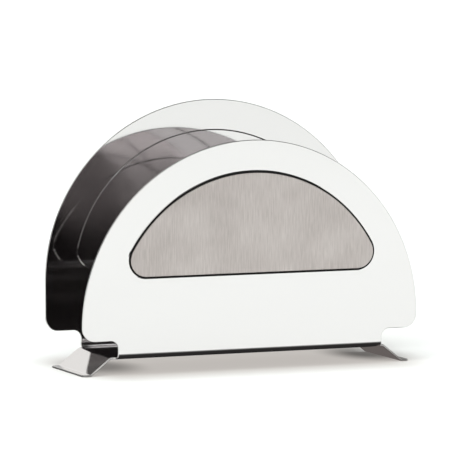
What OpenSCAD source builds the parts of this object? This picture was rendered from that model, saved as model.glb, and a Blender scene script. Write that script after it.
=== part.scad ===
// Napkin holder: one bent sheet of mirror-polished stainless steel with two arched walls,
// and a satin panel bonded to a pressed seat on the outside of each wall.
// Millimetres. The table is z = 0, X runs along the walls, the front wall is on the -Y side.

/* [Sheet] */
// Thickness of the steel sheet
sheet_t = 1; // [0.7:0.1:1.5]
// Inside radius of the two long bends between the base and the walls
bend_r = 2; // [1:0.5:4]

/* [Walls] */
// Width of both walls, which is also the diameter of their arched tops
wall_w = 180; // [160:2:220]
// Depth of the holder over the outer faces of its walls, at the bends
body_d = 51; // [40:1:80]
// How far the walls lean out from upright, in degrees
wall_lean = 1; // [0:0.25:2]
// Height of the front wall's sides, from the wings' lower edge to the arch
front_side = 6.8; // [4:0.2:20]
// Height of the rear wall's sides, from the wings' lower edge to the arch
rear_side = 23.6; // [16:0.2:45]
// How far each wall reaches past the base as a wing, at both ends
wing_l = 19; // [15:0.5:25]
// Height of the wings' lower edge above the underside of the base
wing_gap = 9.4; // [7:0.1:14]
// Corner radius of the wings
wing_r = 7; // [2:0.5:10]
// Radius in the corner where a wing leaves the wall
notch_r = 4; // [1:0.5:5]

/* [Feet] */
// Height of the underside of the base above the table
foot_h = 8.3; // [6:0.1:14]
// How far the sides of the feet are set in from the outer faces of the walls
foot_inset = 4; // [4:0.5:10]
// Flat length of a foot before it bends down
foot_root = 1.6; // [1:0.2:5]
// Slope of a foot, in degrees below the base
foot_angle = 38; // [30:1:60]
// Inside radius of a foot's two bends
foot_bend_r = 2; // [1:0.5:3]
// Length of the flat lip at the end of a foot
lip_l = 3.2; // [2:0.2:6]
// Radius of the lip's corners, seen from above
lip_r = 1.5; // [0.5:0.25:2]
// Radius in the corner where a foot leaves the base
foot_fillet_r = 1.6; // [0.5:0.1:3]

/* [Seats] */
// Width of the polished border between a seat and the wall's arch
seat_margin = 15; // [10:0.5:22]
// Height of a seat's straight lower edge above the underside of the base
seat_z = 39.4; // [30:0.2:50]
// Radius of a seat's two lower corners
seat_r = 9.5; // [5:0.5:14]
// How far a seat is pressed out of its wall
seat_rise = 0.3; // [0.2:0.1:0.6]
// Width of the metal between a seat's raised edge and the hollow behind it
seat_web = 0.6; // [0.4:0.1:1]

/* [Satin panels] */
// Thickness of a satin panel
panel_t = 0.6; // [0.4:0.1:1]
// Thickness of the film that bonds a panel to its seat
film_t = 0.2; // [0.1:0.05:0.4]
// How far the film is set in from the edge of its seat
film_inset = 0.2; // [0.1:0.1:0.6]
// How far the film shows as a dark line around its panel
film_border = 0.9; // [0.2:0.1:2]

/* [Hidden] */
$fn = 128;
// Straight steps in each bend of a foot
bend_steps = 8;
// Overlap that lets two arcs cross where they would only touch
seam = 0.002;
// How far the walls, the feet and the rounds between them reach into each other
join = 1;

arch_r = wall_w / 2;
inner_y = body_d / 2 - sheet_t;
base_l = wall_w - 2 * wing_l;
bend_y = inner_y - bend_r;
bend_z = foot_h + sheet_t + bend_r;
wing_z = foot_h + wing_gap;
// The lean, kept to an angle whose cosine has five digits, so that the leaning walls meet the base exactly
lean = acos(round(1e5 * cos(wall_lean)) / 1e5);

foot_d = body_d - 2 * foot_inset;
foot_mid_r = foot_bend_r + sheet_t / 2;
foot_mid_z = foot_h + sheet_t / 2;
slope_x = base_l / 2 + foot_root;
slope_l = (foot_h - 2 * foot_mid_r * (1 - cos(foot_angle))) / sin(foot_angle);
lip_x = slope_x + 2 * foot_mid_r * sin(foot_angle) + slope_l * cos(foot_angle);
tip_x = lip_x + lip_l;
root_r = min(foot_fillet_r, foot_root, inner_y - foot_d / 2);

seat_arc_r = arch_r - seat_margin;
seat_low_z = foot_h + seat_z;
seat_corner_z = seat_low_z + seat_r;
panel_inset = film_inset + film_border;
film_z = sheet_t + seat_rise;
panel_z = film_z + film_t;

steel = [0.86, 0.86, 0.85];
satin = [0.73, 0.71, 0.69];
black = [0.08, 0.08, 0.08];

// Height of the centre of an arch above the table
function arch_z(side) = wing_z + side;

// Half the distance between the centres of a seat's two lower corners
function corner_x(side) = sqrt(pow(seat_arc_r - seat_r, 2) - pow(seat_corner_z - arch_z(side), 2));

// Middle line of the right foot seen from the front: points [x, z, angle below the base]
foot_path = concat(
    [[base_l / 2 - join, foot_mid_z, 0]],
    [for (i = [0 : bend_steps])
        let (a = foot_angle * i / bend_steps)
            [slope_x + foot_mid_r * sin(a), foot_mid_z - foot_mid_r * (1 - cos(a)), a]],
    [for (i = [bend_steps : -1 : 0])
        let (a = foot_angle * i / bend_steps)
            [lip_x - foot_mid_r * sin(a), sheet_t / 2 + foot_mid_r * (1 - cos(a)), a]],
    [[tip_x, sheet_t / 2, 0]]
);

// Point of the sheet's upper or lower face beside a point of its middle line
function beside(p, offset) = [p[0] + offset * sin(p[2]), p[1] + offset * cos(p[2])];

// Turns a wall's own frame, x along it, y up it and z out of its inner face, into the front wall's place,
// where the wall leans out about the middle of its bend
module at_front() {
    translate([0, -bend_y, bend_z])
        rotate([90 + lean, 0, 0])
            translate([0, -bend_z, bend_r])
                children();
}

module at_rear() {
    mirror([0, 1, 0])
        at_front()
            children();
}

module both_ends() {
    children();
    mirror([1, 0, 0])
        children();
}

// Square corner of side r with a round of radius r taken out of it. The corner is at the origin,
// and the piece reaches past it on both sides.
module corner_piece(r) {
    difference() {
        translate([-join, -join])
            square(r + join);
        translate([r, r])
            circle(r);
    }
}

// Sheet bent about the origin, from straight below it to the root of a wall on its right
module wall_bend() {
    reach = 2 * (bend_r + sheet_t);
    intersection() {
        difference() {
            circle(bend_r + sheet_t);
            circle(bend_r);
        }
        polygon([[0, 0], [0, -reach], [reach, -reach], reach * [cos(lean), -sin(lean)]]);
    }
}

// Outline of a wall: an arch on straight sides, with wings past the ends of the base
module wall_outline(side) {
    corner_r = min(wing_r, side);
    difference() {
        union() {
            intersection() {
                translate([0, arch_z(side)])
                    circle(arch_r, $fn = 256);
                translate([-arch_r, arch_z(side)])
                    square([wall_w, arch_r]);
            }
            translate([-arch_r, wing_z])
                square([wall_w, side]);
            both_ends()
                translate([base_l / 2, wing_z])
                    mirror([0, 1])
                        corner_piece(notch_r);
        }
        both_ends()
            translate([arch_r, wing_z])
                mirror([1, 0])
                    corner_piece(corner_r);
    }
}

// What a seat's right lower corner loses to its round, seen from the centre of that round
module corner_waste(side, r) {
    turn = atan2(seat_corner_z - arch_z(side), corner_x(side));
    reach = 2 * seat_r;
    difference() {
        polygon([[0, 0], [0, -reach], [reach, -reach], reach * [cos(turn), sin(turn)]]);
        circle(r + seam);
    }
}

// Seat outline set in by d: part of a circle about the wall's arch, with a straight lower edge
module seat_outline(side, d) {
    difference() {
        intersection() {
            translate([0, arch_z(side)])
                circle(seat_arc_r - d, $fn = 256);
            translate([-arch_r, seat_low_z + d])
                square(wall_w);
        }
        both_ends()
            translate([corner_x(side), seat_corner_z])
                corner_waste(side, seat_r - d);
    }
}

// Wall with its seat pressed outwards, in the wall's own frame
module formed_wall(side) {
    difference() {
        union() {
            linear_extrude(sheet_t)
                wall_outline(side);
            linear_extrude(sheet_t + seat_rise)
                seat_outline(side, 0);
        }
        translate([0, 0, -seat_rise])
            linear_extrude(2 * seat_rise)
                seat_outline(side, seat_web);
    }
}

// Flat base, its two long bends and the root of each wall, of length l
module base_channel(l) {
    rotate([90, 0, 90])
        translate([0, 0, -l / 2])
            linear_extrude(l) {
                translate([-bend_y, foot_h])
                    square([2 * bend_y, sheet_t]);
                both_ends()
                    translate([bend_y, bend_z]) {
                        wall_bend();
                        rotate(-lean)
                            translate([bend_r, 0])
                                square([sheet_t, wing_gap - sheet_t - bend_r + join]);
                    }
            }
}

// Metal left in the corners where the feet leave the base, which runs a little way up the bends
module root_fillets() {
    intersection() {
        base_channel(base_l + 2 * root_r);
        linear_extrude(bend_z)
            both_ends()
                for (end = [0, 1])
                    mirror([0, end])
                        translate([base_l / 2, foot_d / 2])
                            corner_piece(root_r);
    }
}

// Side view of the right foot: root, bend, slope, bend and lip
module foot_section() {
    polygon(concat(
        [for (p = foot_path) beside(p, sheet_t / 2)],
        [for (i = [len(foot_path) - 1 : -1 : 0]) beside(foot_path[i], -sheet_t / 2)]
    ));
}

// Right foot seen from above, with round corners at its lip
module foot_plan() {
    difference() {
        translate([base_l / 2 - join, -foot_d / 2])
            square([tip_x - base_l / 2 + join, foot_d]);
        for (end = [0, 1])
            mirror([0, end])
                translate([tip_x, foot_d / 2])
                    rotate(180)
                        corner_piece(lip_r);
    }
}

module right_foot() {
    intersection() {
        rotate([90, 0, 0])
            translate([0, 0, -foot_d / 2])
                linear_extrude(foot_d)
                    foot_section();
        linear_extrude(foot_h + sheet_t)
            foot_plan();
    }
}

module body_sheet() {
    color(steel) {
        at_front()
            formed_wall(front_side);
        at_rear()
            formed_wall(rear_side);
        base_channel(base_l);
        root_fillets();
        both_ends()
            right_foot();
    }
}

module bonding_film(side) {
    color(black)
        translate([0, 0, film_z])
            linear_extrude(film_t)
                seat_outline(side, film_inset);
}

module satin_panel(side) {
    color(satin)
        translate([0, 0, panel_z])
            linear_extrude(panel_t)
                seat_outline(side, panel_inset);
}

module front_bonding_film() {
    at_front()
        bonding_film(front_side);
}

module rear_bonding_film() {
    at_rear()
        bonding_film(rear_side);
}

module front_satin_panel() {
    at_front()
        satin_panel(front_side);
}

module rear_satin_panel() {
    at_rear()
        satin_panel(rear_side);
}

body_sheet();
front_bonding_film();
rear_bonding_film();
front_satin_panel();
rear_satin_panel();
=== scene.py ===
import bpy
import numpy as np
from mathutils import Matrix


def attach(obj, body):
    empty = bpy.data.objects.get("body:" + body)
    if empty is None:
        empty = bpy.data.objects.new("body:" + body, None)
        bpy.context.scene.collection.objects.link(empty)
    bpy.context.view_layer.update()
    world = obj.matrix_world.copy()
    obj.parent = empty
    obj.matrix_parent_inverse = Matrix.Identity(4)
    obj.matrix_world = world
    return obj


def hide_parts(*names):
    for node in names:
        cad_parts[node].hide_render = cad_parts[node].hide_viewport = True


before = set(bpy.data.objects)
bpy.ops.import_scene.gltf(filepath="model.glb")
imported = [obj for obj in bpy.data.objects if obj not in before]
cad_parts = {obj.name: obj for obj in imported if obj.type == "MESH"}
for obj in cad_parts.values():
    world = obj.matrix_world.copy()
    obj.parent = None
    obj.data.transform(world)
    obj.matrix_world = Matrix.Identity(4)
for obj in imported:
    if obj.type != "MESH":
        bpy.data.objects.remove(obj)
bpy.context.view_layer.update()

# Body sheet: one blank of stainless steel sheet, cut out with its wings and feet, pressed with a
# D-shaped seat in each wall, then folded along the base and polished to a mirror all over.
# It stands on the lips of its feet, and nothing fastens it.
MM = 0.001
SHEET_T = 1.0
EDGE_ROUND = 0.3
INNER_BEND_R = 2.0
BODY_D = 51.0
WALL_W = 180.0
WALL_LEAN = np.arccos(0.99985)
WALL_BOW = np.radians(0.4) / 30
BOW_Z = 80.0
FRONT_SIDE = 6.8
REAR_SIDE = 23.6
WING_L = 19.0
WING_GAP = 9.4
WING_R = 7.0
NOTCH_R = 4.0
SEAT_MARGIN = 15.0
SEAT_LIFT = 39.4
SEAT_CORNER_R = 9.5
SEAT_RISE = 0.3
SEAT_STEP_R = 0.55
SEAT_STEP_MID = 0.3
FOOT_H = 8.3
FOOT_INSET = 4.0
FOOT_ROOT = 1.6
FOOT_FILLET_R = 1.6
FOOT_ANGLE = np.radians(38)
LIP_L = 3.2
LIP_R = 1.5

# Places on the sheet's middle surface. Heights are above the table.
BEND_R = INNER_BEND_R + SHEET_T / 2
WALL_R = WALL_W / 2
WALL_MID_Y = (BODY_D - SHEET_T) / 2
BASE_HALF_L = WALL_R - WING_L
BASE_MID_Z = FOOT_H + SHEET_T / 2
BEND_Y = WALL_MID_Y - BEND_R
BEND_Z = BASE_MID_Z + BEND_R
WING_Z = FOOT_H + WING_GAP
SEAT_ARC_R = WALL_R - SEAT_MARGIN
SEAT_LOW_Z = FOOT_H + SEAT_LIFT
FOOT_HALF_D = BODY_D / 2 - FOOT_INSET
FOOT_SLOPE_X = BASE_HALF_L + FOOT_ROOT
FILLET_Y = FOOT_HALF_D + FOOT_FILLET_R
FRONT = {"out": -1, "arch_z": WING_Z + FRONT_SIDE, "wing_r": min(WING_R, FRONT_SIDE)}
REAR = {"out": 1, "arch_z": WING_Z + REAR_SIDE, "wing_r": min(WING_R, REAR_SIDE)}


def arc(centre, r, start, end, n):
    """n steps along a circle about centre from angle start to end in degrees, first point left out."""
    a = np.radians(np.linspace(start, end, n + 1)[1:])
    return np.stack([centre[0] + r * np.cos(a), centre[1] + r * np.sin(a)], 1)


def line(p, q, n):
    """n equal steps on the straight line from p to q, first point left out."""
    t = np.linspace(0, 1, n + 1)[1:, None]
    return (1 - t) * np.array(p) + t * np.array(q)


def both_halves(right):
    """A closed loop from its right half, which runs from the lowest to the highest point on x = 0."""
    return np.concatenate([right, right[-2:0:-1] * [-1, 1]])


# Steps along half an outline: its bottom, then its notch and wing, then its arch. The second line divides
# the wing's own steps, and the last one is what a seat's straight lower edge takes of them.
BOTTOM_N, WING_N, ARCH_N = 12, 34, 72
NOTCH_N, WING_LOW_N, WING_SIDE_N = 12, 3, 4
SEAT_LOW_N = 6


def wall_loop(wall, inset):
    """Edge of a wall above its bend, set in by inset: bend line, notch, wing and arch."""
    end, low, side = BASE_HALF_L - inset, WING_Z + inset, WALL_R - inset
    notch_x, notch_z = BASE_HALF_L + NOTCH_R, WING_Z - NOTCH_R
    corner_x, corner_z = WALL_R - wall["wing_r"], WING_Z + wall["wing_r"]
    side_n = WING_SIDE_N if wall["arch_z"] > corner_z else 0
    corner_n = WING_N - 1 - NOTCH_N - WING_LOW_N - side_n
    return both_halves(np.concatenate([
        [[0, BEND_Z]],
        line((0, BEND_Z), (end, BEND_Z), BOTTOM_N),
        line((end, BEND_Z), (end, notch_z), 1),
        arc((notch_x, notch_z), NOTCH_R + inset, 180, 90, NOTCH_N),
        line((notch_x, low), (corner_x, low), WING_LOW_N),
        arc((corner_x, corner_z), wall["wing_r"] - inset, -90, 0, corner_n),
        line((side, corner_z), (side, wall["arch_z"]), side_n),
        arc((0, wall["arch_z"]), side, 0, 90, ARCH_N),
    ]))


SEAT_SPLIT = 0.62


def seat_loop(wall, inset):
    """D-shaped edge of a seat, set in by inset, and the way out of it at each point: a straight lower edge,
    divided in two parts at SEAT_SPLIT of its half length, a round corner and an arc. It has as many points as
    the wall's edge, so that the two can be joined."""
    corner_z = SEAT_LOW_Z + SEAT_CORNER_R
    rise = corner_z - wall["arch_z"]
    corner_x = np.sqrt((SEAT_ARC_R - SEAT_CORNER_R) ** 2 - rise ** 2)
    turn = np.degrees(np.arctan2(rise, corner_x))
    low, split = SEAT_LOW_Z + inset, SEAT_SPLIT * corner_x
    corner_n = WING_N - SEAT_LOW_N
    right = np.concatenate([
        [[0, low]],
        line((0, low), (split, low), BOTTOM_N),
        line((split, low), (corner_x, low), SEAT_LOW_N),
        arc((corner_x, corner_z), SEAT_CORNER_R - inset, -90, turn, corner_n),
        arc((0, wall["arch_z"]), SEAT_ARC_R - inset, turn, 90, ARCH_N),
    ])
    a = np.radians(np.concatenate([
        np.full(1 + BOTTOM_N + SEAT_LOW_N, -90.0),
        np.linspace(-90, turn, corner_n + 1)[1:],
        np.linspace(turn, 90, ARCH_N + 1)[1:],
    ]))
    return both_halves(right), both_halves(np.stack([np.cos(a), np.sin(a)], 1))


def ring_faces(rows, n):
    """Quads between rows of n points that each close on themselves."""
    i = np.arange(rows - 1)[:, None] * n
    k = np.arange(n)[None, :]
    after = (k + 1) % n
    return np.stack([i + k, i + after, i + n + after, i + n + k], -1).reshape(-1, 4)


def fan_faces(loop, n, centre):
    """Triangles from the last loop of n points, which starts at index loop, to the point centre."""
    k = np.arange(n)
    return np.stack([loop + k, loop + (k + 1) % n, np.full(n, centre)], 1)


def grid_faces(rows, columns):
    """Quads of a grid of rows by columns of points."""
    i = np.arange(rows - 1)[:, None] * columns
    k = np.arange(columns - 1)[None, :]
    return np.stack([i + k, i + k + 1, i + columns + k + 1, i + columns + k], -1).reshape(-1, 4)


def unit(v):
    """Vectors brought to length 1."""
    return v / np.linalg.norm(v, axis=-1, keepdims=True)


def lean_out(wall, points, normals):
    """Points and normals of an upright wall, turned outwards by WALL_LEAN about the middle of its bend."""
    turned = []
    for p, about in ((points, [0, BEND_Y, BEND_Z]), (normals, [0, 0, 0])):
        q = p * [1, wall["out"], 1] - about
        y = np.cos(WALL_LEAN) * q[:, 1] + np.sin(WALL_LEAN) * q[:, 2]
        z = np.cos(WALL_LEAN) * q[:, 2] - np.sin(WALL_LEAN) * q[:, 1]
        turned.append((np.stack([q[:, 0], y, z], 1) + about) * [1, wall["out"], 1])
    return turned


# Rings between the wall's edge and its seat, steps in each arc of the seat's edge, and the sizes of the rings
# that fill a seat, as shares of it.
BORDER_N, STEP_N = 3, 6
FILL_RINGS = [0.7, 0.4, 0.12]


def wall_surface(wall):
    """Middle surface of a wall: flat from its edge to the seat, an S of two arcs up the seat's step, and flat
    again to a point in the middle of the seat. Each wall also bows by 0.4 mm from bend to crown. That is too
    little to see but for the mirror images, so it is only in the normals, which turn by WALL_BOW a millimetre
    above and below BOW_Z."""
    edge = wall_loop(wall, EDGE_ROUND)
    n = len(edge)
    steep = np.arccos(1 - SEAT_RISE / 2 / SEAT_STEP_R)
    half_run = SEAT_STEP_R * np.sin(steep)
    up = np.linspace(0, steep, STEP_N + 1)
    back = up[-2::-1]
    run = np.concatenate([SEAT_STEP_R * np.sin(up), 2 * half_run - SEAT_STEP_R * np.sin(back)])
    height = np.concatenate([SEAT_STEP_R * (1 - np.cos(up)), SEAT_RISE - SEAT_STEP_R * (1 - np.cos(back))])
    tilt = np.concatenate([up, back])
    start, way_out = seat_loop(wall, SEAT_STEP_MID - half_run)
    blend = np.linspace(0, 1, BORDER_N + 1)[:-1, None, None]
    border = (1 - blend) * edge + blend * start
    step = start - run[:, None, None] * way_out
    centre = np.array([0.0, 0.5 * (step[-1, :, 1].min() + step[-1, :, 1].max())])
    inner = centre + np.array(FILL_RINGS)[:, None, None] * (step[-1] - centre)
    flat = np.concatenate([border, step, inner]).reshape(-1, 2)
    flat = np.concatenate([flat, centre[None]])
    rows = len(flat) // n
    lift = np.concatenate([np.zeros(BORDER_N), height, np.full(len(FILL_RINGS), SEAT_RISE)])
    lean = np.concatenate([np.zeros(BORDER_N), tilt, np.zeros(len(FILL_RINGS))])
    lift = np.append(np.repeat(lift, n), SEAT_RISE)
    lean = np.append(np.repeat(lean, n), 0.0)
    sideways = np.concatenate([np.tile(way_out, (rows, 1)), [[0, 0]]])
    points = np.stack([flat[:, 0], wall["out"] * (WALL_MID_Y + lift), flat[:, 1]], 1)
    normals = unit(np.stack([
        np.sin(lean) * sideways[:, 0],
        wall["out"] * np.cos(lean),
        np.sin(lean) * sideways[:, 1] + WALL_BOW * (flat[:, 1] - BOW_Z),
    ], 1))
    return *lean_out(wall, points, normals), ring_faces(rows, n), fan_faces((rows - 1) * n, n, rows * n)


# Where the base and the feet are divided across their width, as shares of its half, with a line on each
# bend. A long bend is divided in BEND_N steps, and the first one past the feet is at least LEAST_STEP long.
BEND_SHARE = BEND_Y / FILLET_Y
FOLD_T = np.array([-1, -BEND_SHARE, -0.9, -0.6, -0.3, 0, 0.3, 0.6, 0.9, BEND_SHARE, 1])
BEND_N = 14
LEAST_STEP = 0.1


def base_surface():
    """Middle surface of the base and its two long bends: s runs across it, flat up to the bend line and then
    on a quarter circle less the wall's lean, and x runs along it."""
    quarter = BEND_R * np.linspace(0, np.pi / 2 - WALL_LEAN, BEND_N + 1)
    beyond = BEND_Y + quarter[BEND_Y + quarter > FILLET_Y + LEAST_STEP]
    s = np.concatenate([-beyond[::-1], FILLET_Y * FOLD_T, beyond])
    x = (BASE_HALF_L - EDGE_ROUND) * np.linspace(-1, 1, 2 * BOTTOM_N + 1)
    a = np.maximum(np.abs(s) - BEND_Y, 0) / BEND_R
    y = np.sign(s) * (np.minimum(np.abs(s), BEND_Y) + BEND_R * np.sin(a))
    z = BASE_MID_Z + BEND_R * (1 - np.cos(a))
    shape = (len(s), len(x))
    points = np.stack([
        np.broadcast_to(x, shape),
        np.broadcast_to(y[:, None], shape),
        np.broadcast_to(z[:, None], shape),
    ], -1).reshape(-1, 3)
    normals = np.stack([
        np.zeros(shape),
        np.broadcast_to((np.sign(s) * np.sin(a))[:, None], shape),
        np.broadcast_to(-np.cos(a)[:, None], shape),
    ], -1).reshape(-1, 3)
    return points, normals, grid_faces(*shape), np.zeros((0, 3), int)


ROUND_N = 8


def foot_surface(end):
    """Middle surface of a foot at the end -1 or 1: a strip whose side view is flat, bends down, slopes, bends
    back and ends in a flat lip, and whose half width follows the root fillet and the lip's round corner."""
    drop = BASE_MID_Z - SHEET_T / 2
    slope_l = (drop - 2 * BEND_R * (1 - np.cos(FOOT_ANGLE))) / np.sin(FOOT_ANGLE)
    lip_x = FOOT_SLOPE_X + 2 * BEND_R * np.sin(FOOT_ANGLE) + slope_l * np.cos(FOOT_ANGLE)
    tip_x = lip_x + LIP_L
    quarter = np.linspace(0, np.pi / 2, ROUND_N + 1)
    fold = np.linspace(0, FOOT_ANGLE, ROUND_N + 1)[1:]
    back = fold[::-1]
    fillet, lip_corner = FOOT_FILLET_R + EDGE_ROUND, LIP_R - EDGE_ROUND
    x = np.concatenate([
        BASE_HALF_L + FOOT_FILLET_R - fillet * np.cos(quarter),
        FOOT_SLOPE_X + BEND_R * np.sin(fold),
        lip_x - BEND_R * np.sin(back),
        [lip_x],
        tip_x - LIP_R + lip_corner * np.sin(quarter),
    ])
    z = np.concatenate([
        np.full(ROUND_N + 1, BASE_MID_Z),
        BASE_MID_Z - BEND_R * (1 - np.cos(fold)),
        SHEET_T / 2 + BEND_R * (1 - np.cos(back)),
        np.full(ROUND_N + 2, SHEET_T / 2),
    ])
    a = np.concatenate([np.zeros(ROUND_N + 1), fold, back, np.zeros(ROUND_N + 2)])
    half = np.concatenate([
        FILLET_Y - fillet * np.sin(quarter),
        np.full(2 * ROUND_N + 1, FOOT_HALF_D - EDGE_ROUND),
        FOOT_HALF_D - LIP_R + lip_corner * np.cos(quarter),
    ])
    shape = (len(x), len(FOLD_T))
    s = half[:, None] * FOLD_T
    rise = np.maximum(np.abs(s) - BEND_Y, 0) / BEND_R
    points = np.stack([
        np.broadcast_to(end * x[:, None], shape),
        np.sign(s) * (np.minimum(np.abs(s), BEND_Y) + BEND_R * np.sin(rise)),
        z[:, None] + BEND_R * (1 - np.cos(rise)),
    ], -1).reshape(-1, 3)
    normals = np.stack([
        np.broadcast_to(-end * np.sin(a)[:, None], shape),
        np.sign(s) * np.sin(rise),
        -np.cos(a)[:, None] * np.cos(rise),
    ], -1).reshape(-1, 3)
    return points, normals, grid_faces(*shape), np.zeros((0, 3), int)


TOGETHER = 1e-4


def join_surfaces(surfaces):
    """One surface from several that share edge points: points that lie together become one."""
    offsets = np.cumsum([0] + [len(s[0]) for s in surfaces[:-1]])
    points = np.concatenate([s[0] for s in surfaces])
    normals = np.concatenate([s[1] for s in surfaces])
    quads = np.concatenate([s[2] + o for s, o in zip(surfaces, offsets)])
    triangles = np.concatenate([s[3] + o for s, o in zip(surfaces, offsets)])
    cells = np.round(points / TOGETHER).astype(int)
    _, first, same = np.unique(cells, axis=0, return_index=True, return_inverse=True)
    same = same.ravel()
    return points[first], normals[first], same[quads], same[triangles]


# Around the free edge of a sheet, from its outer to its inner face: the angle of each point on its round,
# which face's round that is, and how far the point belongs to the cut edge.
RIM_ANGLE = np.radians([60, 30, 0, 0, -30, -60])[:, None, None]
RIM_FACE = np.array([1, 1, 1, -1, -1, -1])[:, None, None]
RIM_CUT = [0.3, 1, 1, 1, 1, 0.3]


def thicken(surface, thickness, edge_round):
    """Closed sheet about a middle surface: both faces lie half the thickness off it along its normals, and
    the free edge bulges out by edge_round as two quarter circles with a flat between them."""
    points, normals, quads, triangles = surface
    for faces in (quads, triangles):
        p = points[faces]
        across, along = p[:, 2] - p[:, 0], p[:, -1] - p[:, 0]
        facing = np.cross(p[:, 1] - p[:, 0], across) + np.cross(across, along)
        turned = (facing * normals[faces].mean(1)).sum(1) < 0
        faces[turned] = faces[turned][:, ::-1]
    n = len(points)
    sides = np.concatenate([np.stack([f, np.roll(f, -1, 1)], -1).reshape(-1, 2) for f in (quads, triangles)])
    free = sides[~np.isin(sides[:, 0] * n + sides[:, 1], sides[:, 1] * n + sides[:, 0])]
    outwards = np.cross(unit(points[free[:, 1]] - points[free[:, 0]]), normals[free].mean(1))
    out = np.zeros_like(points)
    np.add.at(out, free[:, 0], outwards)
    np.add.at(out, free[:, 1], outwards)
    rim = np.unique(free)
    out = unit(out[rim] - (out[rim] * normals[rim]).sum(1, keepdims=True) * normals[rim])
    h = thickness / 2
    level = RIM_FACE * (h - edge_round) + edge_round * np.sin(RIM_ANGLE)
    rim_points = points[rim] + edge_round * np.cos(RIM_ANGLE) * out + level * normals[rim]
    rim_normals = np.cos(RIM_ANGLE) * out + np.sin(RIM_ANGLE) * normals[rim]
    place = np.zeros(n, int)
    place[rim] = np.arange(len(rim))
    around = 2 * n + np.arange(len(RIM_CUT) * len(rim)).reshape(len(RIM_CUT), -1)
    chain = np.concatenate([[rim], around, [n + rim]])
    first, second = chain[:, place[free[:, 0]]], chain[:, place[free[:, 1]]]
    rim_quads = np.stack([second[:-1], first[:-1], first[1:], second[1:]], -1).reshape(-1, 4)
    return {
        "points": np.concatenate([points + h * normals, points - h * normals, rim_points.reshape(-1, 3)]),
        "normals": np.concatenate([normals, -normals, rim_normals.reshape(-1, 3)]),
        "faces": [*quads.tolist(), *(n + quads[:, ::-1]).tolist(), *rim_quads.tolist(),
                  *triangles.tolist(), *(n + triangles[:, ::-1]).tolist()],
        "cut_edge": np.concatenate([np.zeros(2 * n), np.repeat(RIM_CUT, len(rim))]),
    }


def make_piece(name, sheet, material):
    """A mesh object from a closed sheet in millimetres, with its exact normals, its share of cut edge, and a
    UV map of x and z, whose first direction runs across an upright grain."""
    mesh = bpy.data.meshes.new(name)
    mesh.from_pydata((sheet["points"] * MM).tolist(), [], sheet["faces"])
    mesh.polygons.foreach_set("use_smooth", np.ones(len(mesh.polygons), bool))
    edge = mesh.attributes.new("cut_edge", "FLOAT", "POINT")
    edge.data.foreach_set("value", sheet["cut_edge"].astype(np.float32))
    corner = np.zeros(len(mesh.loops), np.int32)
    mesh.loops.foreach_get("vertex_index", corner)
    across = sheet["points"][corner][:, [0, 2]] * MM
    mesh.uv_layers.new(name="across_the_grain").data.foreach_set("uv", across.ravel().astype(np.float32))
    mesh.normals_split_custom_set_from_vertices(sheet["normals"].tolist())
    mesh.materials.append(material)
    piece = bpy.data.objects.new(name, mesh)
    bpy.context.scene.collection.objects.link(piece)
    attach(piece, "root")
    return piece


def linear(hex_colour):
    """Linear colour from an sRGB hex value such as #DBD8D8."""
    c = np.array([int(hex_colour[i:i + 2], 16) for i in (1, 3, 5)]) / 255
    return (*np.where(c <= 0.04045, c / 12.92, ((c + 0.055) / 1.055) ** 2.4), 1.0)


def add_node(tree, kind, values=(), links=(), **settings):
    """Adds a node, sets its settings and socket values, and links its sockets from other nodes' outputs."""
    made = tree.nodes.new(kind)
    for name, value in settings.items():
        setattr(made, name, value)
    for socket, value in dict(values).items():
        made.inputs[socket].default_value = value
    for socket, source in dict(links).items():
        tree.links.new(source, made.inputs[socket])
    return made


def new_material(name):
    """An empty node material and its tree."""
    material = bpy.data.materials.new(name)
    material.use_nodes = True
    material.node_tree.nodes.clear()
    return material, material.node_tree


# Mirror-polished stainless steel: nearly sharp reflections that keep about three quarters of the light, a
# faint polishing haze in patches, and a waviness of the rolled sheet that only bends far reflections.
# Cut edges are ground but not polished, so they are duller.
HAZE_PATCH = 25 * MM
ROLLED_WAVE = 90 * MM
mirror_steel, tree = new_material("mirror_polished_stainless_steel")
place = add_node(tree, "ShaderNodeTexCoord").outputs["Object"]
haze = add_node(tree, "ShaderNodeTexNoise", {"Scale": 1 / HAZE_PATCH, "Detail": 3.0}, {"Vector": place})
haze_rough = add_node(tree, "ShaderNodeMapRange",
                      {"From Min": 0.3, "From Max": 0.7, "To Min": 0.035, "To Max": 0.06},
                      {"Value": haze.outputs["Fac"]})
edge = add_node(tree, "ShaderNodeAttribute", attribute_name="cut_edge")
rough = add_node(tree, "ShaderNodeMapRange", {"To Max": 0.35},
                 {"Value": edge.outputs["Fac"], "To Min": haze_rough.outputs["Result"]})
colour = add_node(tree, "ShaderNodeMix", {"A": linear("#E1DFDF"), "B": linear("#D2D0CF")},
                  {"Factor": edge.outputs["Fac"]}, data_type="RGBA")
wave = add_node(tree, "ShaderNodeTexNoise", {"Scale": 1 / ROLLED_WAVE, "Detail": 1.0}, {"Vector": place})
wavy = add_node(tree, "ShaderNodeBump", {"Strength": 0.006, "Distance": 0.5 * MM},
                {"Height": wave.outputs["Fac"]})
steel = add_node(tree, "ShaderNodeBsdfPrincipled", {"Metallic": 1.0},
                 {"Base Color": colour.outputs["Result"], "Roughness": rough.outputs["Result"],
                  "Normal": wavy.outputs["Normal"]})
add_node(tree, "ShaderNodeOutputMaterial", links={"Surface": steel.outputs["BSDF"]})

blank = join_surfaces([
    wall_surface(FRONT), wall_surface(REAR), base_surface(), foot_surface(-1), foot_surface(1),
])
body_sheet = make_piece("mirror_body", thicken(blank, SHEET_T, EDGE_ROUND), mirror_steel)
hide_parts("body_sheet")

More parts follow.
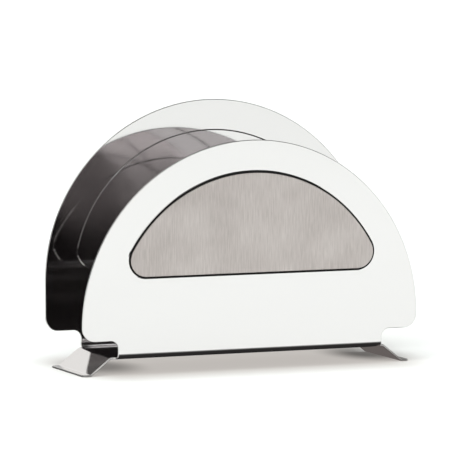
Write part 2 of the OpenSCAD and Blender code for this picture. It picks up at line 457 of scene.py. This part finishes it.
# Bonding films: die-cut sheets of black double-sided acrylic foam tape that hold the panels on the seats.
# All that shows of a film is its border, a matt dark line around the panel, so its solid stays and only
# takes its finish. The foam's cells are too fine to show, and are drawn coarser.
FILM_T = 0.2
FILM_INSET = 0.2
FILM_BORDER = 0.9
FOAM_CELL = 0.4 * MM
black_film, tree = new_material("black_acrylic_adhesive_film")
place = add_node(tree, "ShaderNodeTexCoord").outputs["Object"]
foam = add_node(tree, "ShaderNodeTexNoise", {"Scale": 1 / FOAM_CELL, "Detail": 2.0}, {"Vector": place})
tone = add_node(tree, "ShaderNodeMix", {"A": linear("#0A0A0A"), "B": linear("#191818")},
                {"Factor": foam.outputs["Fac"]}, data_type="RGBA")
grain = add_node(tree, "ShaderNodeBump", {"Strength": 0.2, "Distance": 0.05 * MM},
                 {"Height": foam.outputs["Fac"]})
film = add_node(tree, "ShaderNodeBsdfPrincipled", {"Roughness": 0.7, "Specular IOR Level": 0.2},
                {"Base Color": tone.outputs["Result"], "Normal": grain.outputs["Normal"]})
add_node(tree, "ShaderNodeOutputMaterial", links={"Surface": film.outputs["BSDF"]})
for name in ("front_bonding_film", "rear_bonding_film"):
    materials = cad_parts[name].data.materials
    materials.clear()
    materials.append(black_film)

# Satin panels: D-shaped plates blanked from satin stainless sheet whose grain runs up and down, bonded to the
# seats. Blanking rounds the rim a little.
PANEL_T = 0.6
PANEL_ROUND = 0.22
PANEL_INSET = FILM_INSET + FILM_BORDER
PANEL_MID_Y = WALL_MID_Y + SHEET_T / 2 + SEAT_RISE + FILM_T + PANEL_T / 2
PANEL_RINGS = [1.0, *FILL_RINGS]


def panel_surface(wall):
    """Middle surface of a panel: rings from its D-shaped edge to a point in the middle, all flat."""
    edge, _ = seat_loop(wall, PANEL_INSET + PANEL_ROUND)
    n, rows = len(edge), len(PANEL_RINGS)
    centre = np.array([0.0, 0.5 * (edge[:, 1].min() + edge[:, 1].max())])
    rings = centre + np.array(PANEL_RINGS)[:, None, None] * (edge - centre)
    flat = np.concatenate([rings.reshape(-1, 2), centre[None]])
    points = np.stack([flat[:, 0], np.full(len(flat), wall["out"] * PANEL_MID_Y), flat[:, 1]], 1)
    normals = np.tile([0.0, wall["out"], 0.0], (len(flat), 1))
    return *lean_out(wall, points, normals), ring_faces(rows, n), fan_faces((rows - 1) * n, n, rows * n)


# Satin stainless steel: a belt leaves fine upright scratches, so the gloss spreads sideways. The scratches
# are about 0.05 mm wide, too fine to show, and are drawn coarser.
SCRATCH_W, SCRATCH_L = 0.6 * MM, 9 * MM
BELT_PATCH = 20 * MM
satin_steel, tree = new_material("satin_stainless_steel_upright_grain")
place = add_node(tree, "ShaderNodeTexCoord").outputs["Object"]
upright = add_node(tree, "ShaderNodeMapping", {"Scale": (1 / SCRATCH_W, 1.0, 1 / SCRATCH_L)},
                   {"Vector": place})
scratch = add_node(tree, "ShaderNodeTexNoise", {"Scale": 1.0, "Detail": 3.0, "Roughness": 0.6},
                   {"Vector": upright.outputs["Vector"]})
patch = add_node(tree, "ShaderNodeTexNoise", {"Scale": 1 / BELT_PATCH, "Detail": 2.0}, {"Vector": place})
both = add_node(tree, "ShaderNodeMix", {"Factor": 0.35},
                {"A": scratch.outputs["Fac"], "B": patch.outputs["Fac"]}, data_type="FLOAT")
tone = add_node(tree, "ShaderNodeValToRGB", links={"Fac": both.outputs["Result"]})
for stop, (position, hex_colour) in zip(tone.color_ramp.elements, ((0.35, "#AEA6A3"), (0.65, "#C8C1BE"))):
    stop.position = position
    stop.color = linear(hex_colour)
rough = add_node(tree, "ShaderNodeMapRange",
                 {"From Min": 0.3, "From Max": 0.7, "To Min": 0.34, "To Max": 0.42},
                 {"Value": scratch.outputs["Fac"]})
groove = add_node(tree, "ShaderNodeBump", {"Strength": 0.15, "Distance": 0.02 * MM},
                  {"Height": scratch.outputs["Fac"]})
sideways = add_node(tree, "ShaderNodeTangent", direction_type="UV_MAP", uv_map="across_the_grain")
satin = add_node(tree, "ShaderNodeBsdfPrincipled", {"Metallic": 1.0, "Anisotropic": 0.7},
                 {"Base Color": tone.outputs["Color"], "Roughness": rough.outputs["Result"],
                  "Normal": groove.outputs["Normal"], "Tangent": sideways.outputs["Tangent"]})
add_node(tree, "ShaderNodeOutputMaterial", links={"Surface": satin.outputs["BSDF"]})

for name, wall in (("front", FRONT), ("rear", REAR)):
    plate = thicken(panel_surface(wall), PANEL_T, PANEL_ROUND)
    panel = make_piece(f"{name}_panel", plate, satin_steel)
    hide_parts(f"{name}_satin_panel")

# Studio table: a pale acrylic sheet, slightly cloudy, under soft light from above and from the front left.
# The wide soft ground shadow is drawn in its colour. The light that reaches under the base is a faint glow,
# weaker where the feet shade the table. On the stage, sizes and places are in metres.
CLOUD = 200 * MM
SHADOW_MIDDLE = (0.003, 0.006, 0.0)
SHADOW_HALF = (0.069, 0.02, 0.0)
SHADOW_FADE = (0.038, 0.05, 1.0)
FEET_SHADE_MIDDLE = (0.0085, 0.017, 0.0)
FOOT_SHADE_AT = (0.0735, 0.0, 0.0)
FOOT_SHADE_R = (0.026, 0.038, 1.0)
FEET_X = 0.06
OPEN_GLOW, BASE_GLOW, LEFT_FOOT_GLOW, RIGHT_FOOT_GLOW = 0.18, 0.51, 0.22, 0.13

pale_table, tree = new_material("pale_acrylic_table")
place = add_node(tree, "ShaderNodeTexCoord").outputs["Object"]
cloud = add_node(tree, "ShaderNodeTexNoise", {"Scale": 1 / CLOUD, "Detail": 2.0}, {"Vector": place})
tone = add_node(tree, "ShaderNodeMix", {"A": linear("#E5E7E7"), "B": linear("#E9EBEB")},
                {"Factor": cloud.outputs["Fac"]}, data_type="RGBA")

# How far each place is past the dark middle of the shadow, and from the shade at the nearer foot, as shares
# of the widths over which they fade. Each is the length of a vector after these steps.
lengths = []
for steps in (
    (("SUBTRACT", SHADOW_MIDDLE), ("ABSOLUTE",), ("SUBTRACT", SHADOW_HALF), ("MAXIMUM", (0.0, 0.0, 0.0)),
     ("DIVIDE", SHADOW_FADE)),
    (("SUBTRACT", FEET_SHADE_MIDDLE), ("ABSOLUTE",), ("SUBTRACT", FOOT_SHADE_AT), ("DIVIDE", FOOT_SHADE_R)),
):
    vector = place
    for operation, *other in steps:
        step = add_node(tree, "ShaderNodeVectorMath", enumerate(other, 1), {0: vector}, operation=operation)
        vector = step.outputs["Vector"]
    length = add_node(tree, "ShaderNodeVectorMath", links={0: vector}, operation="LENGTH")
    lengths.append(length.outputs["Value"])
past_shadow, past_foot = lengths

open_sky = add_node(tree, "ShaderNodeMapRange", links={"Value": past_shadow}, interpolation_type="SMOOTHSTEP")
shaded = add_node(tree, "ShaderNodeMix", {"A": linear("#6A6867")},
                  {"Factor": open_sky.outputs["Result"], "B": tone.outputs["Result"]}, data_type="RGBA")
under_base = add_node(tree, "ShaderNodeMapRange", {"To Min": BASE_GLOW, "To Max": OPEN_GLOW},
                      {"Value": open_sky.outputs["Result"]})
along = add_node(tree, "ShaderNodeSeparateXYZ", links={"Vector": place})
by_foot = add_node(tree, "ShaderNodeMapRange",
                   {"From Min": -FEET_X, "From Max": FEET_X,
                    "To Min": LEFT_FOOT_GLOW, "To Max": RIGHT_FOOT_GLOW},
                   {"Value": along.outputs["X"]})
glow = add_node(tree, "ShaderNodeMapRange", {"From Min": 0.2, "From Max": 1.05},
                {"Value": past_foot, "To Min": by_foot.outputs["Result"],
                 "To Max": under_base.outputs["Result"]}, interpolation_type="SMOOTHSTEP")
table = add_node(tree, "ShaderNodeBsdfPrincipled",
                 {"Roughness": 0.9, "Specular IOR Level": 0.0, "Emission Color": linear("#FFF9F3")},
                 {"Base Color": shaded.outputs["Result"], "Emission Strength": glow.outputs["Result"]})
add_node(tree, "ShaderNodeOutputMaterial", links={"Surface": table.outputs["BSDF"]})


def rectangle(low, high):
    """Corners, in order, of the flat rectangle between two opposite corners that share one coordinate."""
    i, j = np.flatnonzero(np.subtract(high, low))
    corners = np.tile(np.array(low, float), (4, 1))
    corners[1:3, i] = high[i]
    corners[2:, j] = high[j]
    return corners.tolist()


def stage_card(name, corners, material):
    """A flat card of the stage, from its corners."""
    mesh = bpy.data.meshes.new(name)
    mesh.from_pydata(corners, [], [range(len(corners))])
    mesh.materials.append(material)
    card = bpy.data.objects.new(name, mesh)
    bpy.context.scene.collection.objects.link(card)
    return card


stage_card("floor", rectangle((-15, -3.3, 0), (15, 15, 0)), pale_table)

# Cards that only the steel mirrors. Past the right end a black one over a grey one, overhead a grey and a
# white one, and white ones far behind and at the right, as a photographer sets them. On the table, black ones
# under the base and behind the left foot and a dim one under the right foot are painted shade: they stand in
# for the table's shadow where the steel mirrors it. The black under the base thins out to the front, as a
# shadow's soft edge.
TABLE_GAP = 0.0001
BASE_END, BASE_FRONT, BASE_BACK = 0.0735, -0.024, 0.038
FOOT_END = 0.0885
LEFT_END = -0.1
THIN_FROM, THIN_TO = -0.032, -0.08
END_X = 0.093
OVERHEAD_Z = 1.0

# Black card: a faint even glow, used for the black flag past the right end and for the painted shade on the
# table. The painted shade fades out to the front, from THIN_FROM to THIN_TO, like a shadow's soft edge.
black_card_and_painted_shade, tree = new_material("black_card_and_painted_shade")
place = add_node(tree, "ShaderNodeTexCoord").outputs["Object"]
black = add_node(tree, "ShaderNodeEmission", {"Color": linear("#FFFAFA"), "Strength": 0.027})
open_air = add_node(tree, "ShaderNodeBsdfTransparent")
axes = add_node(tree, "ShaderNodeSeparateXYZ", links={"Vector": place})
cover = add_node(tree, "ShaderNodeMapRange", {"From Min": THIN_TO, "From Max": THIN_FROM},
                 {"Value": axes.outputs["Y"]}, interpolation_type="SMOOTHSTEP")
thinned = add_node(tree, "ShaderNodeMixShader", links={
    0: cover.outputs["Result"], 1: open_air.outputs["BSDF"], 2: black.outputs["Emission"],
})
add_node(tree, "ShaderNodeOutputMaterial", links={"Surface": thinned.outputs["Shader"]})


def even_card(name, hex_colour, strength):
    """Material of a card that is evenly bright."""
    material, tree = new_material(name)
    shine = add_node(tree, "ShaderNodeEmission", {"Color": linear(hex_colour), "Strength": strength})
    add_node(tree, "ShaderNodeOutputMaterial", links={"Surface": shine.outputs["Emission"]})
    return material


def on_table(outline):
    """Corners of a card that lies on the table, from its outline seen from above."""
    return [(x, y, TABLE_GAP) for x, y in outline]


white_card = even_card("white_card", "#FFFEFB", 0.96)
grey_card = even_card("grey_card", "#FFFEFB", 0.25)
# The dim card is painted shade: it glows at the level of the table's shadow under the right foot.
painted_shade_dim_card = even_card("painted_shade_dim_card", "#FFF2ED", 0.15)
for name, corners, material in (
    # Painted shade: the table's shadow under the base, mirrored by the bends as their dark band.
    ("painted_shade_under_base", on_table([
        (LEFT_END, BASE_BACK), (LEFT_END, BASE_FRONT), (-0.073, BASE_FRONT), (-0.05, THIN_TO),
        (0.1, THIN_TO), (BASE_END, BASE_FRONT), (BASE_END, BASE_BACK),
    ]), black_card_and_painted_shade),
    # Painted shade: the table's shadow under the right foot, mirrored by the foot's underside.
    ("painted_shade_under_right_foot", on_table([
        (BASE_END, BASE_BACK), (BASE_END, BASE_FRONT), (0.095, -0.07),
        (0.105, -0.07), (FOOT_END, BASE_FRONT), (FOOT_END, BASE_BACK),
    ]), painted_shade_dim_card),
    # Painted shade: the table's shadow behind the left foot.
    ("painted_shade_behind_left_foot", rectangle((-0.15, 0.05, TABLE_GAP), (LEFT_END, 0.14, TABLE_GAP)), black_card_and_painted_shade),
    ("end_flag", rectangle((END_X, -0.027, 0.03), (END_X, 0.03, 0.07)), black_card_and_painted_shade),
    ("end_card", rectangle((END_X, -0.027, 0.002), (END_X, 0.03, 0.03)), grey_card),
    ("grey_overhead", rectangle((-0.3, -1.9, OVERHEAD_Z), (0.05, 1.7, OVERHEAD_Z)), grey_card),
    ("white_overhead", rectangle((-1.6, -1.9, OVERHEAD_Z), (-0.3, 0.2, OVERHEAD_Z)), white_card),
    ("back_card", rectangle((-0.6, 1.5, 0.35), (0.5, 1.5, 0.85)), white_card),
    ("side_card", rectangle((0.6, -0.35, 0.2), (0.6, 0.05, 0.5)), white_card),
):
    card = stage_card(name, corners, material)
    card.visible_camera = False
    card.visible_diffuse = False
    card.visible_shadow = False
    card.visible_transmission = False

# The room, as the polished walls mirror it: a bright horizon under a dark ceiling. Each level is the
# brightness at a height in degrees above the horizon.
HORIZON_LEVELS = (
    (0, 0.88), (0.6, 1.0), (1.2, 1.65), (1.9, 1.65), (2.6, 0.65), (3.5, 0.55), (6.5, 0.55),
    (7.5, 0.48), (8.5, 0.3), (9.5, 0.12), (10.5, 0.05), (12, 0.035), (60, 0.05),
)
world = bpy.data.worlds.new("studio_with_a_bright_horizon")
world.use_nodes = True
tree = world.node_tree
tree.nodes.clear()
direction = add_node(tree, "ShaderNodeTexCoord")
height = add_node(tree, "ShaderNodeSeparateXYZ", links={"Vector": direction.outputs["Generated"]})
brightness = add_node(tree, "ShaderNodeValToRGB", links={"Fac": height.outputs["Z"]})
stops = brightness.color_ramp.elements
while len(stops) < len(HORIZON_LEVELS):
    stops.new(0.5)
for k, (degrees, level) in enumerate(HORIZON_LEVELS):
    stops[k].position = np.sin(np.radians(degrees))
    stops[k].color = (level, level, level, 1)
room = add_node(tree, "ShaderNodeBackground", links={"Color": brightness.outputs["Color"]})
add_node(tree, "ShaderNodeOutputWorld", links={"Surface": room.outputs["Background"]})

# The walls mirror each other many times, so light may bounce often.
BOUNCES = 32
scene = bpy.context.scene
scene.world = world
scene.view_settings.view_transform = "Standard"
scene.cycles.max_bounces = BOUNCES
scene.cycles.glossy_bounces = BOUNCES
scene.cycles.caustics_reflective = True

# Lights: a small softbox that draws the bright lines in the bends, and soft lights that the steel doesn't
# mirror: a square lamp overhead, light from the whole ceiling and light from the front left.
LIGHT_COLOUR = (0.977, 1.0, 0.983)
SOFTBOX_SIZE = 0.16
SOFTBOX_GLOW = 1.5


def hang_light(name, kind, energy):
    """A light and the stand that holds it, linked to the scene."""
    light = bpy.data.lights.new(name, kind)
    light.energy = energy
    stand = bpy.data.objects.new(name, light)
    scene.collection.objects.link(stand)
    return light, stand


softbox, stand = hang_light("softbox", "AREA", SOFTBOX_GLOW * np.pi * SOFTBOX_SIZE ** 2)
softbox.shape = "SQUARE"
softbox.size = SOFTBOX_SIZE
stand.location = (0.4, 0.0, 1.0)

front_light, stand = hang_light("front_light", "AREA", 2.4)
front_light.shape = "SQUARE"
front_light.size = 0.8
front_light.color = LIGHT_COLOUR
stand.location = (0.25, -0.6, 1.3)
stand.visible_glossy = False

for name, energy, spread, lean in (("dome_light", 1.27, 170, 0), ("key_light", 3.2, 60, 45)):
    sun, stand = hang_light(name, "SUN", energy)
    sun.color = LIGHT_COLOUR
    sun.angle = np.radians(spread)
    stand.rotation_euler = np.radians([lean, 0, -45])
    stand.visible_glossy = False

# Camera at the photograph's viewpoint: 23 degrees to the left of the front and 5 degrees up, 2.2 m away.
CAMERA_AT = (-0.87603, -2.035062, 0.277571)
TURN, LIFT, ROLL = np.radians([-23.2045, 5.3539, 0.1518])
FOCAL_PIXELS, PICTURE_PIXELS = 4459.84, 450.0
SENSOR_W = 36.0
back = np.array([np.sin(TURN) * np.cos(LIFT), -np.cos(TURN) * np.cos(LIFT), np.sin(LIFT)])
right = unit(np.cross([0, 0, 1], back))
up = np.cross(back, right)
right, up = np.cos(ROLL) * right + np.sin(ROLL) * up, np.cos(ROLL) * up - np.sin(ROLL) * right
lens = bpy.data.cameras.new("camera")
lens.sensor_width = SENSOR_W
lens.lens = FOCAL_PIXELS / PICTURE_PIXELS * SENSOR_W
lens.clip_end = 100.0
camera = bpy.data.objects.new("camera", lens)
rows = [[*row, at] for row, at in zip(np.stack([right, up, back], 1), CAMERA_AT)]
camera.matrix_world = Matrix([*rows, [0, 0, 0, 1]])
scene.collection.objects.link(camera)
scene.camera = camera
